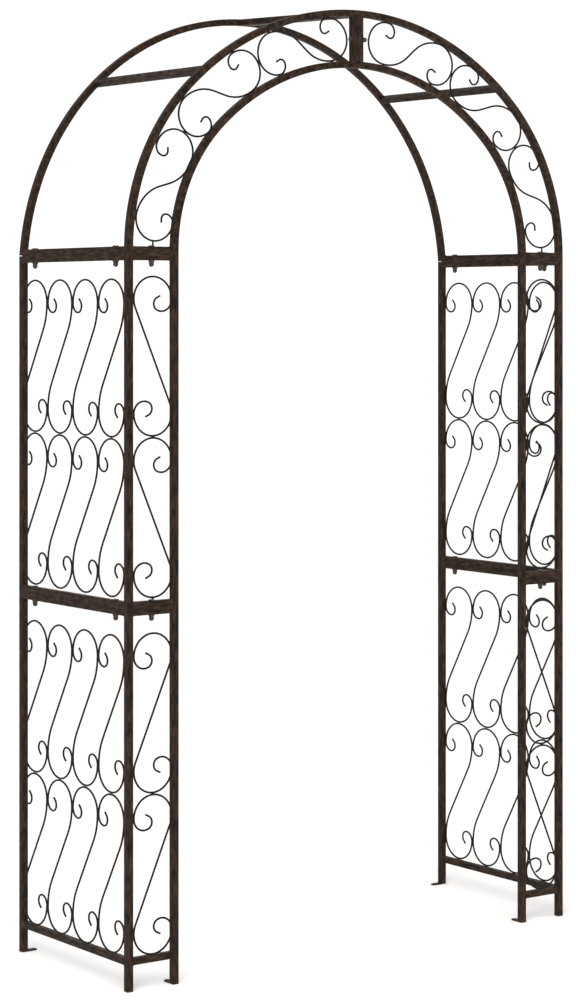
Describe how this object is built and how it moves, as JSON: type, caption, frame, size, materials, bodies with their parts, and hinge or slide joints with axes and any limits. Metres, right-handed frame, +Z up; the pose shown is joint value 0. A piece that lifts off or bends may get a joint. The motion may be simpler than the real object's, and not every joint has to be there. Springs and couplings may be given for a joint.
{
  "type": "garden arch",
  "caption": "Metal trellis garden arch: two L-shaped columns of square tube filled with wire S-scrolls, under a double front arch and a single back arch.",
  "frame": {"origin": "on the ground, at the centre of the footprint of the two columns", "axes": "+X runs across the passage from the left column to the right column as seen from the front, +Y runs from the double front arch to the single back arch, +Z is up"},
  "size_m": [1.32, 0.488, 2.295],
  "materials": {
    "frame": "antique bronze powder coat, mottled, satin",
    "scrolls": "near-black powder coat, satin",
    "bolts": "bronzed zinc, satin",
    "caps": "moulded, matte"
  },
  "bodies": {
    "root": {"left_front_outer_arch": "frame", "left_front_inner_arch": "frame", "left_back_arch": "frame", "left_arch_side_foot_rail": "frame", "left_arch_front_foot_rail": "frame", "left_crown_post": "frame", "left_crown_crossbar": "frame", "left_haunch_crossbar": "frame", "left_arch_scrolls": "scrolls", "left_upper_corner_post": "frame", "left_upper_inner_post": "frame", "left_upper_back_post": "frame", "left_upper_side_rails": "frame", "left_upper_front_rails": "frame", "left_upper_side_scrolls": "scrolls", "left_upper_front_scrolls": "scrolls", "left_lower_corner_post": "frame", "left_lower_inner_post": "frame", "left_lower_back_post": "frame", "left_lower_side_rails": "frame", "left_lower_front_rails": "frame", "left_lower_side_scrolls": "scrolls", "left_lower_front_scrolls": "scrolls", "left_foot_plates": "frame", "left_leg_cap": "caps", "right_front_outer_arch": "frame", "right_front_inner_arch": "frame", "right_back_arch": "frame", "right_arch_side_foot_rail": "frame", "right_arch_front_foot_rail": "frame", "right_crown_post": "frame", "right_crown_crossbar": "frame", "right_haunch_crossbar": "frame", "right_arch_scrolls": "scrolls", "right_upper_corner_post": "frame", "right_upper_inner_post": "frame", "right_upper_back_post": "frame", "right_upper_side_rails": "frame", "right_upper_front_rails": "frame", "right_upper_side_scrolls": "scrolls", "right_upper_front_scrolls": "scrolls", "right_lower_corner_post": "frame", "right_lower_inner_post": "frame", "right_lower_back_post": "frame", "right_lower_side_rails": "frame", "right_lower_front_rails": "frame", "right_lower_side_scrolls": "scrolls", "right_lower_front_scrolls": "scrolls", "right_foot_plates": "frame", "right_leg_cap": "caps", "joint_bolts": "bolts", "joint_nuts": "bolts", "crown_bolts": "bolts", "crown_nuts": "bolts"}
  },
  "joints": []
}
